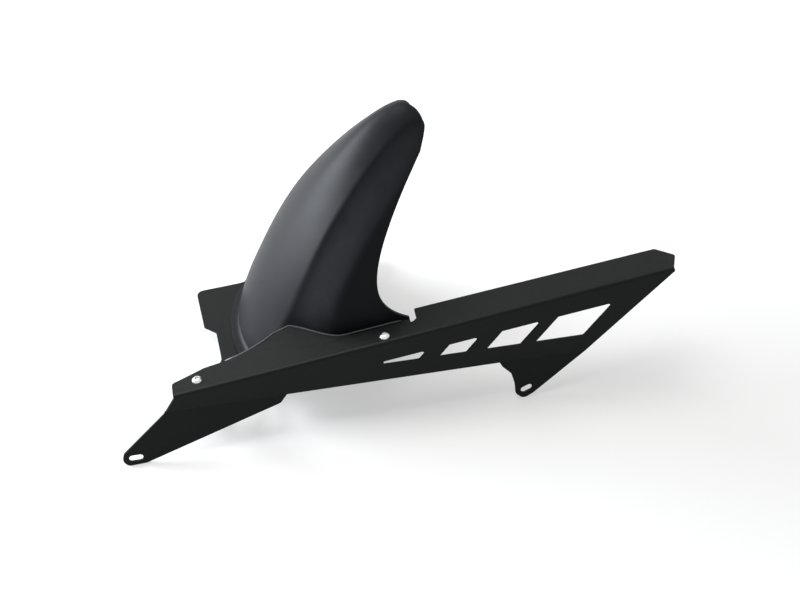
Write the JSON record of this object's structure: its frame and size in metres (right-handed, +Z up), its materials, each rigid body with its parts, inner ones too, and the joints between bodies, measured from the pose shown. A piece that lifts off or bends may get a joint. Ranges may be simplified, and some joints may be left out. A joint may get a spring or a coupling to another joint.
{
  "type": "rear hugger mudguard",
  "caption": "Matt black rear hugger for a motorcycle: moulded mudguard shell with a folded, windowed chain guard and a cross bracket.",
  "frame": {"origin": "on the floor, under the middle of the whole part's bounding box", "axes": "+X rearwards along the chain guard, +Y from the chain side to the far side, +Z up"},
  "size_m": [0.5652, 0.2594, 0.2856],
  "materials": {
    "shell_plastic": "satin black ABS moulding",
    "guard_paint": "satin black powder coat on aluminium sheet",
    "bracket_paint": "satin black powder coat on aluminium sheet",
    "screw_steel": "plain stainless steel"
  },
  "bodies": {
    "root": {"mudguard_shell": "shell_plastic", "chain_guard": "guard_paint", "cross_bracket": "bracket_paint", "button_screws": "screw_steel", "washers": "screw_steel", "lock_nuts": "screw_steel"}
  },
  "joints": []
}
